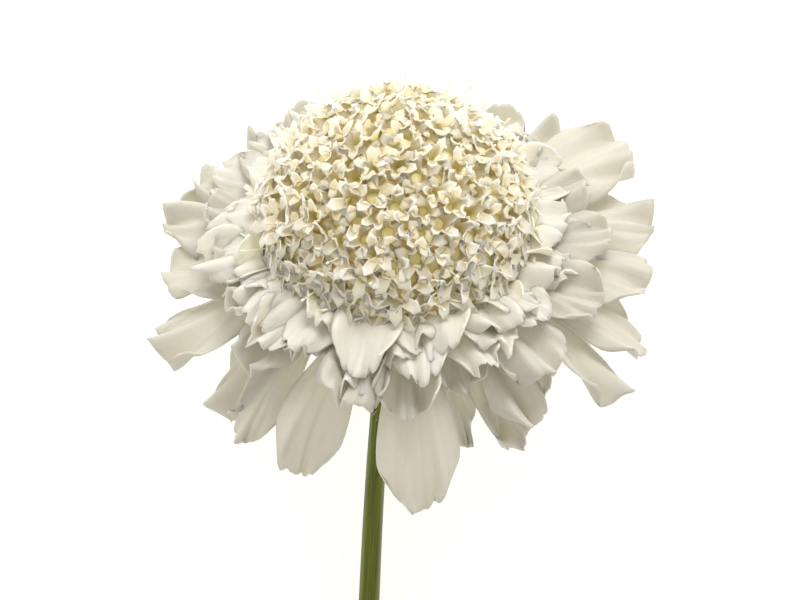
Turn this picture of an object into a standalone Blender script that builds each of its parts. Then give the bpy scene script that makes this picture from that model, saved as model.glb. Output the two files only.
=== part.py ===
# A scabiosa flower, cut, lying on a surface: its stem reaches back along the surface, its neck bends up,
# and the bloom rests on three petals at its far side. The origin is where the lowest petal lies flat.
# Lengths are in millimetres and angles in degrees until the meshes are made, in metres.

import math

import bpy
import numpy as np

METRES_PER_MM = 0.001

# The bloom's place: its centre is the middle of the flat underside of the dome of small florets.
BLOOM_CENTRE = np.array([0.0, -11.9, 26.2])
AXIS_ABOVE_SURFACE = 35.0

# The dome of small florets.
CORE_RADIUS = 18.0
CORE_SIDES = 20
CORE_RINGS = 6
CORE_WIDEST_ANGLE = 84.0
CORE_FLAT_RADIUS = 15.0
FLORET_MOUTH_RADIUS = 20.6
FLORET_COUNT = 130
FLORET_LOWEST_ANGLE = 82.0
FLORET_TUBE_RADIUS = 1.0
FLORET_NOTCH_RADIUS = 1.75
FLORET_LOBE_RADIUS = 2.5
FLORET_THROAT_DEPTH = 1.5
FLORET_ROOT_DEPTH = 1.2
FLORET_NOTCH_DROP = 0.4
FLORET_LOBE_RISE = 0.3
FLORET_UNEVENNESS = 0.4
FLORET_SIZE_AT_TOP = 0.86
GOLDEN_ANGLE = 137.508

# The ring of large outer florets, whose lips are the white petals.
RING_INNER_RADIUS = 7.5
RING_OUTER_RADIUS = 13.6
RING_TOP = -0.4
RING_BOTTOM = -6.6
RING_UPPER_BEVEL = 0.6
RING_LOWER_BEVEL = 1.1
RING_SIDES = 24
PETAL_ROOT_RADIUS = 11.6
PETAL_CLAW_WIDTH = 2.2
BLADE_THICKNESS = 0.7
PETAL_LEAVING_PULL = 0.4
PETAL_ARRIVING_PULL = 0.35
WIDEST_SHARE = 0.84
OPENING_POWER = 1.7
TIP_ROUNDING = 0.2
CORNER_ROUNDING = 0.2
CORNER_POWER = 2.5
NOTCH_DEPTH = 0.07
NOTCH_PLACE = 0.4
NOTCH_WIDTH = 0.12
RUFFLE_WAVES = 1.1
RUFFLE_PHASE_STEP = 1.7
RUFFLE_AT_MIDDLE = 0.35
CUP_FULL_FROM = 0.77

# The green bracts under the bloom.
BRACT_COUNT = 10
BRACT_LENGTH_OUT = 15.5
BRACT_TIP_HEIGHT = -14.5
BRACT_WIDTH = 2.9
BRACT_ROOT_RADIUS = 5.5
BRACT_ROOT_DEPTH = 1.0
BRACT_LEAVING_PULL = 5.0
BRACT_ARRIVING_PULL = 2.0
BRACT_ARCH = 3.5
BRACT_CUP = 0.25
BRACT_DISC_RADIUS = 8.6
BRACT_DISC_TOP = -6.9
BRACT_DISC_BOTTOM = -9.7
BRACT_DISC_NECK_RADIUS = 3.4
BRACT_DISC_SHOULDER_IN = 0.8
BRACT_DISC_SHOULDER_DOWN = 1.4
BRACT_DISC_SIDES = 20

# The stem.
STEM_TOP = -10.0
STEM_RADIUS_TOP = 1.75
STEM_RADIUS_NECK = 1.2
STEM_RADIUS_CUT = 1.6
STEM_LENGTH_BACK = 128.0
STEM_DRIFT_LEFT = 6.0
STEM_NECK_LEAN = 3.3
STEM_NECK_REACH = 24.0
STEM_LEVEL_REACH = 66.0
STEM_DRIFT_AT_CUT = 0.15
STEM_FLARE_STEPS = 1.6
STEM_THICKENS_BY = 0.625
STEM_PRESSED_IN = 0.22
STEM_SIDES = 12
STEM_STEPS = 30

SEED = 7

# The bloom's own directions: to its tip, to its front (the side nearest the stem and highest up), and to
# its right.
pitch = math.radians(AXIS_ABOVE_SURFACE)
AXIS = np.array([0.0, math.cos(pitch), math.sin(pitch)])
FRONT = np.array([0.0, -math.sin(pitch), math.cos(pitch)])
RIGHT = np.array([1.0, 0.0, 0.0])

# Each petal: turn round the bloom from its front towards its right, reach of the tip from the axis,
# height of the tip along the axis, slope at the root and at the tip, sideways drift of the tip,
# width, roll of the blade, cup across the blade, ruffle, and height of the root on the ring.
PETALS = [
    (6, 32.5, -22, 10, -68, 0, 11.5, 0, 0.15, 0.45, -4.9),
    (-21, 31, -20, 10, -60, -3, 9.5, 12, 0.15, 0.5, -4.9),
    (-41, 32, -18, 5, -50, -1, 6.5, 10, 0.1, 0.5, -4.9),
    (-52, 31, -18, 5, -40, -1, 9.5, -15, 0.2, 0.8, -3.9),
    (-47, 29, -6, 5, -20, 0, 9, 0, -0.2, 0.6, -2.9),
    (-72, 36, -11, 5, -20, 1, 11.5, -10, 0.2, 0.8, -4.9),
    (-85, 33, -7, 5, -15, 0, 12.5, -15, 0.1, 0.6, -3.9),
    (-102, 34, -5, 5, -15, 0, 11, 0, 0.2, 0.8, -4.5),
    (-114, 31, -3, 8, -10, 0, 11, 0, 0.1, 0.6, -3.0),
    (-133, 28.5, -2, 10, -5, 0, 10, 0, 0.1, 0.6, -4.2),
    (-155, 33, -4.9, -5, 52, 0, 9.5, 0, 0.0, 0.1, -3.2),
    (180, 30.5, -4.8, -8, 55, 0, 10.5, 0, 0.0, 0.1, -4.2),
    (151, 34, -5.2, -5, 50, 0, 9.5, 0, 0.0, 0.1, -3.2),
    (134, 33.5, -4, 8, 0, 0, 9.5, 0, 0.1, 0.6, -4.6),
    (117, 37.5, -1, 8, 0, 0, 13.5, 0, 0.1, 0.7, -3.2),
    (98, 36.5, -4, 8, -15, 0, 12.5, 0, 0.2, 0.9, -4.6),
    (84, 36, -6, 5, -20, 0, 11, 0, 0.3, 0.5, -3.2),
    (71, 37, -12, 5, -40, 0, 9.5, 15, 0.1, 0.5, -4.8),
    (60, 36.5, -15, 5, -40, 1, 8.5, 25, 0.3, 0.5, -3.7),
    (46, 30, -6, 10, -25, 0, 11, 0, -0.2, 0.6, -2.6),
    (38, 30.5, -14, 10, -40, 1, 9, 0, -0.1, 0.7, -4.2),
    (33, 28, -21, 0, -60, 2, 7, 0, 0.1, 0.6, -5.3),
    (21, 24.5, -20, 0, -60, 1, 5, 0, 0.1, 0.5, -4.6),
    (-14, 30, -2, 20, -10, 0, 10, 0, 0.3, 1.0, -2.8),
    (3, 28, -7, 20, -45, 0, 9, 0, 0.0, 0.9, -2.8),
    (22, 25, -7, 18, -45, 0, 8, 0, 0.1, 0.7, -2.6),
    (-60, 27, 0, 6, 10, 0, 9.5, 0, -0.1, 0.5, -1.9),
    (-79, 26, 1, 6, 15, 0, 9.5, 0, 0.1, 0.5, -1.9),
    (-33, 26, 0, 6, 5, 0, 7.5, 0, 0.1, 0.6, -1.7),
    (67, 31, -1, 6, 5, 0, 9, 0, 0.0, 0.6, -1.9),
    (88, 30, 1, 6, 15, 0, 10, 0, 0.1, 0.5, -1.9),
    (107, 28, 2, 6, 20, 0, 9.5, 0, 0.1, 0.5, -1.9),
    (128, 26, 1, 6, 15, 0, 7, 0, 0.1, 0.5, -1.9),
    (-100, 27, 1, 6, 15, 0, 9.5, 0, 0.1, 0.5, -1.9),
    (-122, 26, 1.5, 6, 15, 0, 7, 0, 0.1, 0.5, -1.9),
    (-143, 26, 1, 6, 15, 0, 7, 0, 0.1, 0.5, -1.7),
]


def clear_scene():
    """Removes the objects that a new file starts with."""
    for old in list(bpy.data.objects):
        bpy.data.objects.remove(old)


def bloom_point(out, side, height, turn):
    """A point out from the bloom's axis at a turn, with a sideways and a height offset."""
    angle = math.radians(turn)
    direction = math.cos(angle) * FRONT + math.sin(angle) * RIGHT
    across = -math.sin(angle) * FRONT + math.cos(angle) * RIGHT
    return BLOOM_CENTRE + out * direction + side * across + height * AXIS


def make_material(name, colour, roughness):
    material = bpy.data.materials.new(name)
    material.use_nodes = True
    shader = material.node_tree.nodes["Principled BSDF"]
    shader.inputs["Base Color"].default_value = (*colour, 1.0)
    shader.inputs["Roughness"].default_value = roughness
    shader.inputs["Metallic"].default_value = 0.0
    return material


def enclosed_volume(points, faces):
    """The volume inside a closed mesh, negative where its faces point inwards."""
    total = 0.0
    for face in faces:
        for second, third in zip(face[1:], face[2:]):
            total += np.dot(points[face[0]], np.cross(points[second], points[third]))
    return total / 6


def mesh_object(name, points, faces, collection=None):
    """A closed object from points in millimetres, in the scene or in a collection to be joined."""
    if enclosed_volume(points, faces) < 0:
        faces = [tuple(reversed(face)) for face in faces]
    mesh = bpy.data.meshes.new(name)
    mesh.from_pydata((np.asarray(points) * METRES_PER_MM).tolist(), [], faces)
    mesh.update()
    made = bpy.data.objects.new(name, mesh)
    (collection or bpy.context.scene.collection).objects.link(made)
    return made


def stitched_rows(rows, columns):
    """Triangles of a grid whose points run row by row, split alike everywhere."""
    faces = []
    for row in range(rows - 1):
        for column in range(columns - 1):
            first = row * columns + column
            above = first + columns
            faces.append((first, first + 1, above + 1))
            faces.append((first, above + 1, above))
    return faces


def blade_solid(name, centre, normals, collection):
    """A closed thin blade from a grid of points and normals, pressed flat where it meets the surface."""
    rows, columns, _ = centre.shape
    upper = centre + normals * BLADE_THICKNESS / 2
    lower = centre - normals * BLADE_THICKNESS / 2
    underneath = np.where(normals[..., 2:] > 0, lower, upper)
    on_top = np.where(normals[..., 2:] > 0, upper, lower)
    underneath[..., 2] = np.maximum(underneath[..., 2], 0.0)
    on_top[..., 2] = np.maximum(on_top[..., 2], BLADE_THICKNESS)
    upper = np.where(normals[..., 2:] > 0, on_top, underneath)
    lower = np.where(normals[..., 2:] > 0, underneath, on_top)
    count = rows * columns
    points = np.concatenate([upper.reshape(-1, 3), lower.reshape(-1, 3)])
    top = stitched_rows(rows, columns)
    faces = top + [(a + count, c + count, b + count) for a, b, c in top]
    rim = (
        [column for column in range(columns)]
        + [row * columns + columns - 1 for row in range(1, rows)]
        + [(rows - 1) * columns + column for column in range(columns - 2, -1, -1)]
        + [row * columns for row in range(rows - 2, 0, -1)]
    )
    for start, end in zip(rim, rim[1:] + rim[:1]):
        faces.append((start, start + count, end + count))
        faces.append((start, end + count, end))
    return mesh_object(name, points, faces, collection)


def curved_blade(name, path, side, half_width, length_share, lift, roll, collection):
    """A blade along a cubic path. Its width, tip outline and lift off the path are arrays on the grid."""
    t = length_share[..., None]
    start, leave, arrive, end = path
    middle = (
        (1 - t) ** 3 * start
        + 3 * (1 - t) ** 2 * t * leave
        + 3 * (1 - t) * t**2 * arrive
        + t**3 * end
    )
    along = (
        3 * (1 - t) ** 2 * (leave - start)
        + 6 * (1 - t) * t * (arrive - leave)
        + 3 * t**2 * (end - arrive)
    )
    along /= np.linalg.norm(along, axis=-1, keepdims=True)
    across = side - (along @ side)[..., None] * along
    across /= np.linalg.norm(across, axis=-1, keepdims=True)
    normal = np.cross(across, along)
    turned = np.radians(roll) * np.clip(length_share * 1.2, 0, 1)[..., None]
    rolled_across = across * np.cos(turned) + normal * np.sin(turned)
    rolled_normal = normal * np.cos(turned) - across * np.sin(turned)
    grid = middle + rolled_across * half_width[..., None] + rolled_normal * lift[..., None]
    by_row = np.gradient(grid, axis=0)
    by_column = np.gradient(grid, axis=1)
    normals = np.cross(by_column, by_row)
    normals /= np.linalg.norm(normals, axis=-1, keepdims=True)
    return blade_solid(name, grid, normals, collection)


def add_petal(index, row, collection):
    """One petal: a narrow claw that fans out to a rounded lip with three lobes and a waved edge."""
    turn, reach, tip, root_slope, tip_slope, drift, width, roll, cup, ruffle, root = row
    start = bloom_point(PETAL_ROOT_RADIUS, 0, root, turn)
    end = bloom_point(reach, drift, tip, turn)
    length = math.hypot(reach - PETAL_ROOT_RADIUS, tip - root)
    outward = bloom_point(1, 0, 0, turn) - BLOOM_CENTRE
    sideways = bloom_point(0, 1, 0, turn) - BLOOM_CENTRE
    slopes = [math.radians(root_slope), math.radians(tip_slope)]
    leaving, arriving = [math.cos(s) * outward + math.sin(s) * AXIS for s in slopes]
    leave = start + PETAL_LEAVING_PULL * length * leaving
    arrive = end - PETAL_ARRIVING_PULL * length * arriving
    path = (start, leave, arrive, end)
    along = np.array([0.0, 0.3, 0.55, 0.8, 1.0])[:, None]
    across = np.array([-1.0, -0.7, -0.4, 0.0, 0.4, 0.7, 1.0])[None, :]
    notch = NOTCH_DEPTH * np.exp(-(((np.abs(across) - NOTCH_PLACE) / NOTCH_WIDTH) ** 2))
    share = along * (1 - CORNER_ROUNDING * np.abs(across) ** CORNER_POWER - notch)
    claw = PETAL_CLAW_WIDTH / 2
    opening = np.sin(np.pi / 2 * np.clip(along / WIDEST_SHARE, 0, 1)) ** OPENING_POWER
    rounding = 1 - TIP_ROUNDING * np.clip((along - WIDEST_SHARE) / (1 - WIDEST_SHARE), 0, 1) ** 2
    spread = (claw + (width / 2 - claw) * opening) * rounding
    half_width = spread * across
    wave = np.sin(2 * np.pi * RUFFLE_WAVES * across + RUFFLE_PHASE_STEP * index)
    lift = spread * cup * across**2 * np.clip(along / CUP_FULL_FROM, 0, 1)
    lift = lift + ruffle * along**2 * (RUFFLE_AT_MIDDLE + np.abs(across)) * wave
    curved_blade(f"petal_{index}", path, sideways, half_width, share, lift, roll, collection)


def turned_ring(name, profile, sides, collection=None):
    """A ring: a closed profile of (distance from the axis, height) turned round the bloom's axis."""
    points = []
    for step in range(sides):
        points += [bloom_point(out, 0, height, 360 * step / sides) for out, height in profile]
    count = len(profile)
    faces = []
    for step in range(sides):
        here = step * count
        there = ((step + 1) % sides) * count
        for i in range(count):
            j = (i + 1) % count
            faces.append((here + i, here + j, there + j, there + i))
    return mesh_object(name, points, faces, collection)


def capped_turning(name, top, profile, bottom, sides):
    """A solid turned round the bloom's axis: a profile of (distance, height) with a point at each end."""
    points = [bloom_point(0, 0, top, 0)]
    for out, height in profile:
        points += [bloom_point(out, 0, height, 360 * step / sides) for step in range(sides)]
    points.append(bloom_point(0, 0, bottom, 0))
    last = 1 + (len(profile) - 1) * sides
    faces = []
    for step in range(sides):
        beside = (step + 1) % sides
        faces.append((0, 1 + beside, 1 + step))
        for here in range(1, last, sides):
            below = here + sides
            faces.append((here + step, here + beside, below + beside, below + step))
        faces.append((last + step, last + beside, len(points) - 1))
    return mesh_object(name, points, faces)


def join_all(base, collection, material, solver="EXACT"):
    """Joins a base and the pieces that grow from it into one body, and removes the pieces."""
    union = base.modifiers.new("grown_together", "BOOLEAN")
    union.operand_type = "COLLECTION"
    union.operation = "UNION"
    union.solver = solver
    union.collection = collection
    bpy.context.view_layer.update()
    graph = bpy.context.evaluated_depsgraph_get()
    joined = bpy.data.meshes.new_from_object(base.evaluated_get(graph))
    base.modifiers.clear()
    base.data = joined
    base.data.materials.clear()
    base.data.materials.append(material)
    for piece in list(collection.objects):
        bpy.data.objects.remove(piece)
    bpy.data.collections.remove(collection)
    return base


def new_collection(name):
    made = bpy.data.collections.new(name)
    bpy.context.scene.collection.children.link(made)
    return made


def build_outer_florets(material):
    """The white petals and the ring that they grow from, in one body."""
    collection = new_collection("petals")
    profile = [
        (RING_INNER_RADIUS, RING_TOP),
        (RING_INNER_RADIUS, RING_BOTTOM),
        (RING_OUTER_RADIUS - RING_LOWER_BEVEL, RING_BOTTOM),
        (RING_OUTER_RADIUS, RING_BOTTOM + RING_LOWER_BEVEL),
        (RING_OUTER_RADIUS, RING_TOP - RING_UPPER_BEVEL),
        (RING_OUTER_RADIUS - RING_UPPER_BEVEL, RING_TOP),
    ]
    ring = turned_ring("outer_florets", profile, RING_SIDES)
    for index, row in enumerate(PETALS):
        add_petal(index, row, collection)
    # The exact solver leaves seven small scraps here, joined to the petals only along an edge.
    return join_all(ring, collection, material, solver="MANIFOLD")


def add_small_floret(index, turn, tilt, collection, random):
    """One small floret: a five-sided tube out of the core that opens to a star of five pointed lobes."""
    outward = math.sin(math.radians(tilt))
    upward = math.cos(math.radians(tilt))
    angle = math.radians(turn)
    radial = math.cos(angle) * FRONT + math.sin(angle) * RIGHT
    facing = outward * radial + upward * AXIS
    east = np.cross(AXIS, radial)
    north = np.cross(facing, east)
    spin = random.uniform(0, 72)
    open_share = FLORET_SIZE_AT_TOP + (1 - FLORET_SIZE_AT_TOP) * (tilt / FLORET_LOWEST_ANGLE)
    mouth = FLORET_MOUTH_RADIUS + random.uniform(-FLORET_UNEVENNESS, FLORET_UNEVENNESS)
    lobe_radius = FLORET_LOBE_RADIUS * open_share
    notch_radius = FLORET_NOTCH_RADIUS * open_share

    def rim_point(distance, radius, step):
        a = math.radians(spin + step)
        return BLOOM_CENTRE + distance * facing + radius * (math.cos(a) * east + math.sin(a) * north)

    tube = [rim_point(CORE_RADIUS - FLORET_ROOT_DEPTH, FLORET_TUBE_RADIUS, 72 * i) for i in range(5)]
    notches = [rim_point(mouth - FLORET_NOTCH_DROP, notch_radius, 72 * i) for i in range(5)]
    tips = [rim_point(mouth + FLORET_LOBE_RISE, lobe_radius, 72 * i + 36) for i in range(5)]
    throat = [BLOOM_CENTRE + (mouth - FLORET_THROAT_DEPTH) * facing]
    points = tube + notches + tips + throat
    faces = [(4, 3, 2, 1, 0)]
    for i in range(5):
        j = (i + 1) % 5
        faces.append((i, j, 10 + i))
        faces.append((i, 10 + i, 5 + i))
        faces.append((j, 5 + j, 10 + i))
        faces.append((5 + i, 10 + i, 15))
        faces.append((10 + i, 5 + j, 15))
    mesh_object(f"small_floret_{index}", points, faces, collection)


def build_disc_florets(material):
    """The dome of small cream florets, which stand out of a smaller rounded core, in one body."""
    collection = new_collection("small_florets")
    steps = range(1, CORE_RINGS)
    turns = [math.radians(CORE_WIDEST_ANGLE * step / (CORE_RINGS - 1)) for step in steps]
    profile = [(CORE_RADIUS * math.sin(turn), CORE_RADIUS * math.cos(turn)) for turn in turns]
    profile.append((CORE_FLAT_RADIUS, 0.0))
    core = capped_turning("disc_florets", CORE_RADIUS, profile, 0.0, CORE_SIDES)
    random = np.random.default_rng(SEED)
    lowest = 1 - math.cos(math.radians(FLORET_LOWEST_ANGLE))
    for index in range(FLORET_COUNT):
        tilt = math.degrees(math.acos(1 - lowest * (index + 0.5) / FLORET_COUNT))
        add_small_floret(index, index * GOLDEN_ANGLE, tilt, collection, random)
    return join_all(core, collection, material)


def add_bract(index, collection):
    """One narrow pointed bract, arched out and down under the petals."""
    turn = 360 * (index + 0.5) / BRACT_COUNT
    outward = bloom_point(1, 0, 0, turn) - BLOOM_CENTRE
    sideways = bloom_point(0, 1, 0, turn) - BLOOM_CENTRE
    start = bloom_point(BRACT_ROOT_RADIUS, 0, BRACT_DISC_TOP - BRACT_ROOT_DEPTH, turn)
    end = bloom_point(BRACT_LENGTH_OUT, 0, BRACT_TIP_HEIGHT, turn)
    leave = start + BRACT_LEAVING_PULL * outward
    arrive = end - BRACT_ARRIVING_PULL * outward + BRACT_ARCH * AXIS
    path = (start, leave, arrive, end)
    along = np.array([0.0, 0.3, 0.55, 0.8, 1.0])[:, None]
    across = np.array([-1.0, 0.0, 1.0])[None, :]
    outline = np.array([1.0, 1.0, 0.95, 0.6, 0.16])[:, None]
    half_width = BRACT_WIDTH / 2 * outline * across
    share = along + 0 * across
    lift = BRACT_CUP * outline * across**2
    curved_blade(f"bract_{index}", path, sideways, half_width, share, lift, 0, collection)


def build_bracts(material):
    """The green disc under the bloom and its ring of narrow bracts, in one body."""
    collection = new_collection("bracts")
    profile = [
        (BRACT_DISC_RADIUS, BRACT_DISC_TOP),
        (BRACT_DISC_RADIUS - BRACT_DISC_SHOULDER_IN, BRACT_DISC_TOP - BRACT_DISC_SHOULDER_DOWN),
        (BRACT_DISC_NECK_RADIUS, BRACT_DISC_BOTTOM),
    ]
    disc = capped_turning("bracts", BRACT_DISC_TOP, profile, BRACT_DISC_BOTTOM, BRACT_DISC_SIDES)
    for index in range(BRACT_COUNT):
        add_bract(index, collection)
    return join_all(disc, collection, material)


def build_stem(material):
    """The stem: it leaves the bloom along its axis, bends level and lies along the surface to its cut."""
    top = bloom_point(0, 0, STEM_TOP, 0)
    cut = np.array([top[0] - STEM_DRIFT_LEFT, top[1] - STEM_LENGTH_BACK, STEM_RADIUS_CUT - STEM_PRESSED_IN])
    leave = top - STEM_NECK_REACH * AXIS - STEM_NECK_LEAN * RIGHT
    arrive = cut + np.array([STEM_DRIFT_AT_CUT * STEM_DRIFT_LEFT, STEM_LEVEL_REACH, 0.0])
    rings = []
    for step in range(STEM_STEPS + 1):
        t = step / STEM_STEPS
        middle = (
            (1 - t) ** 3 * top
            + 3 * (1 - t) ** 2 * t * leave
            + 3 * (1 - t) * t**2 * arrive
            + t**3 * cut
        )
        along = (
            3 * (1 - t) ** 2 * (leave - top)
            + 6 * (1 - t) * t * (arrive - leave)
            + 3 * t**2 * (cut - arrive)
        )
        along /= np.linalg.norm(along)
        across = np.cross(along, [0.0, 0.0, 1.0])
        across /= np.linalg.norm(across)
        above = np.cross(across, along)
        flare = math.exp(-((step / STEM_FLARE_STEPS) ** 2))
        thickening = min(1.0, t / STEM_THICKENS_BY)
        radius = STEM_RADIUS_NECK + (STEM_RADIUS_CUT - STEM_RADIUS_NECK) * thickening
        radius += (STEM_RADIUS_TOP - STEM_RADIUS_NECK) * flare
        for side in range(STEM_SIDES):
            angle = 2 * math.pi * side / STEM_SIDES
            point = middle + radius * (math.cos(angle) * across + math.sin(angle) * above)
            point[2] = max(point[2], 0.0)
            rings.append(point)
    faces = []
    for step in range(STEM_STEPS):
        for side in range(STEM_SIDES):
            beside = (side + 1) % STEM_SIDES
            here = step * STEM_SIDES
            there = here + STEM_SIDES
            faces.append((here + side, there + side, there + beside, here + beside))
    faces.append(tuple(range(STEM_SIDES)))
    faces.append(tuple(STEM_STEPS * STEM_SIDES + side for side in reversed(range(STEM_SIDES))))
    stem = mesh_object("stem", rings, faces)
    stem.data.materials.append(material)
    stem.data.shade_smooth()
    return stem


clear_scene()
ivory = make_material("ivory_petal", (0.80, 0.78, 0.69), 0.6)
cream = make_material("cream_floret", (0.78, 0.72, 0.50), 0.6)
leaf_green = make_material("leaf_green", (0.16, 0.22, 0.05), 0.6)
stem_green = make_material("stem_green", (0.12, 0.15, 0.02), 0.5)
build_outer_florets(ivory)
build_disc_florets(cream)
build_bracts(leaf_green)
build_stem(stem_green)
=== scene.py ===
# A cut white scabiosa lying on a pale table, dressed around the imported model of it.
# Sizes are in millimetres until a mesh is made, and angles are in degrees.

import math

import bpy
import numpy as np
from mathutils import Matrix, Vector


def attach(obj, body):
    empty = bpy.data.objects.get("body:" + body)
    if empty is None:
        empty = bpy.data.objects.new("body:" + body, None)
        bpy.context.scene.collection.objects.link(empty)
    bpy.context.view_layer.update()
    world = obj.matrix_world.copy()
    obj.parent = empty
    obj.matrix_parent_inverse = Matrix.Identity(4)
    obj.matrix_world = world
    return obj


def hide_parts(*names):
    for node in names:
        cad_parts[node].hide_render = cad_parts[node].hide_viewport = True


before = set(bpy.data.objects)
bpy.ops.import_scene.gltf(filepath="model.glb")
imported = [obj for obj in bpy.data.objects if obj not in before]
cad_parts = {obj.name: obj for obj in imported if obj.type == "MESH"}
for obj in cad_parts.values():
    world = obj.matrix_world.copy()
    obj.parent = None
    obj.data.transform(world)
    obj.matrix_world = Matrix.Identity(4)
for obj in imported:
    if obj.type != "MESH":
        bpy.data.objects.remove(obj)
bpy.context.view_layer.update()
millimetre = 0.001
poleReach = 0.01  # mm within which the points of a pole are joined

# The bloom's centre and directions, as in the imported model
bloom = {
    "centre": np.array([0.0, -11.9, 26.2]),
    "axisAboveTable": 35.0,
    "domeRadius": 20.6,
    "petalRoot": 11.6,
}
bloomPitch = math.radians(bloom["axisAboveTable"])
axisWay = np.array([0.0, math.cos(bloomPitch), math.sin(bloomPitch)])  # to the tip of the bloom
frontWay = np.array([0.0, -math.sin(bloomPitch), math.cos(bloomPitch)])  # to the side the camera sees
rightWay = np.array([1.0, 0.0, 0.0])


# Points out from the bloom's axis at a turn, then sideways and along the axis. Any of them may be an
# array.
def bloomPoints(out, side, height, turn):
    angle = np.radians(turn)
    outward = np.multiply.outer(np.cos(angle), frontWay) + np.multiply.outer(np.sin(angle), rightWay)
    across = np.multiply.outer(-np.sin(angle), frontWay) + np.multiply.outer(np.cos(angle), rightWay)
    out, side, height = [np.asarray(value, float)[..., None] for value in (out, side, height)]
    return bloom["centre"] + out * outward + side * across + height * axisWay


# An sRGB hex colour as linear red, green, blue and alpha.
def linearColour(hexText, alpha=1.0):
    parts = [int(hexText[i:i + 2], 16) / 255 for i in (1, 3, 5)]
    return [p / 12.92 if p <= 0.04045 else ((p + 0.055) / 1.055) ** 2.4 for p in parts] + [alpha]


# Adds a node: its settings by name, its inputs' values, and links from (node, output) to its inputs.
def addNode(material, kind, settings=None, inputs=None, links=None):
    node = material.node_tree.nodes.new(kind)
    for name, value in (settings or {}).items():
        setattr(node, name, value)
    for name, value in (inputs or {}).items():
        node.inputs[name].default_value = value
    for name, (source, output) in (links or {}).items():
        material.node_tree.links.new(source.outputs[output], node.inputs[name])
    return node


# A material with one Principled shader, whose plain values are set on its own sockets.
def startMaterial(name, values):
    material = bpy.data.materials.new(name)
    material.use_nodes = True
    shader = material.node_tree.nodes["Principled BSDF"]
    for socket, value in values.items():
        shader.inputs[socket].default_value = value
    return material, shader


def linkTo(material, shader, socket, source, output):
    material.node_tree.links.new(source.outputs[output], shader.inputs[socket])


# Sets a colour ramp to (place, sRGB hex) stops.
def setRamp(node, stops):
    ramp = node.color_ramp
    while len(ramp.elements) < len(stops):
        ramp.elements.new(0.5)
    for element, (place, colour) in zip(ramp.elements, stops):
        element.position = place
        element.color = linearColour(colour)


# Quads of a grid whose points run row by row, as one array, joined round where it is closed across.
def gridFaces(rows, columns, closedAcross=False):
    index = np.arange(rows * columns).reshape(rows, columns)
    beside = np.roll(index, -1, axis=1)
    if not closedAcross:
        index, beside = index[:, :-1], beside[:, :-1]
    quads = np.stack([index[:-1], beside[:-1], beside[1:], index[1:]], axis=-1)
    return quads.reshape(-1, 4)


# A thin closed skin round grids of points (count, rows, columns, 3): the grid offset both ways along its
# normals by half the thickness, and a strip round its rim. It returns the points and quads of each one, and
# which quads are smooth: the rim's are flat, so that it doesn't darken the tissue beside it.
def sheetWithBack(grid, thickness, closedAcross=False):
    byRow = np.gradient(grid, axis=1)
    if closedAcross:
        byColumn = (np.roll(grid, -1, axis=2) - np.roll(grid, 1, axis=2)) / 2
    else:
        byColumn = np.gradient(grid, axis=2)
    normals = np.cross(byColumn, byRow)
    normals /= np.maximum(np.linalg.norm(normals, axis=-1, keepdims=True), 1e-9)
    count, rows, columns, _ = grid.shape
    upper = grid + normals * thickness / 2
    lower = grid - normals * thickness / 2
    points = np.concatenate([upper.reshape(count, -1, 3), lower.reshape(count, -1, 3)], axis=1)
    size = rows * columns
    index = np.arange(size).reshape(rows, columns)
    if closedAcross:
        rim = np.concatenate([index[0], index[-1][::-1]])
        after = np.concatenate([np.roll(index[0], -1), np.roll(index[-1], 1)[::-1]])
    else:
        rim = np.concatenate([index[0, :-1], index[:-1, -1], index[-1, :0:-1], index[:0:-1, 0]])
        after = np.roll(rim, -1)
    top = gridFaces(rows, columns, closedAcross)
    edge = np.stack([after, rim, rim + size, after + size], axis=-1)
    smooth = np.arange(2 * len(top) + len(edge)) < 2 * len(top)
    return points, np.concatenate([top, top[:, ::-1] + size, edge]), smooth


# A mesh object at the origin from whole arrays in millimetres: triangles or quads, float attributes on
# its points, and a UV map given as a pair of values for each point.
def makePiece(name, points, faces, attributes=None, surfaceMap=None, smooth=True):
    mesh = bpy.data.meshes.new(name)
    sides = faces.shape[1]
    mesh.vertices.add(len(points))
    mesh.loops.add(faces.size)
    mesh.polygons.add(len(faces))
    mesh.vertices.foreach_set("co", (points * millimetre).astype(np.float32).ravel())
    mesh.loops.foreach_set("vertex_index", faces.astype(np.int32).ravel())
    mesh.polygons.foreach_set("loop_start", np.arange(0, faces.size, sides, dtype=np.int32))
    mesh.polygons.foreach_set("use_smooth", np.resize(smooth, len(faces)))
    mesh.update(calc_edges=True)
    for title, values in (attributes or {}).items():
        layer = mesh.attributes.new(title, "FLOAT", "POINT")
        layer.data.foreach_set("value", values.astype(np.float32).ravel())
    if surfaceMap is not None:
        layer = mesh.uv_layers.new(name="surfaceMap")
        layer.data.foreach_set("uv", surfaceMap[faces.ravel()].astype(np.float32).ravel())
    mesh.validate()
    piece = bpy.data.objects.new(name, mesh)
    bpy.context.scene.collection.objects.link(piece)
    return piece


# One array of points and one of faces for many alike grids (count, points, 3).
def manyCopies(points, faces):
    count, size, _ = points.shape
    steps = np.arange(count)[:, None, None] * size
    return points.reshape(-1, 3), (faces[None] + steps).reshape(-1, faces.shape[1])


# Petals: fresh scabiosa petal tissue, thin and moist, so light comes softly through it. Their colours are
# greyed below the tissue's own ivory, as painted shade
petalShadedLook = {
    "tip": "#c6c2b6",
    "middle": "#d3cfc0",
    "root": "#e0dab8",
    "vein": "#bfbaa8",
    "roughness": 0.55,
    "veinsAcross": 15,  # veins over a petal 10 mm wide, so one about every 0.7 mm
    "crinkleSize": 1.1,  # mm
}
# The inner lips get a lighter copy of the petals' colours, as painted light that lifts them out of the shade
# the dome casts on them
lipLitLook = {**petalShadedLook, "tip": "#e3dfd2", "middle": "#e6e1cd", "root": "#ebe2b6", "vein": "#d8d2bd"}


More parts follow.
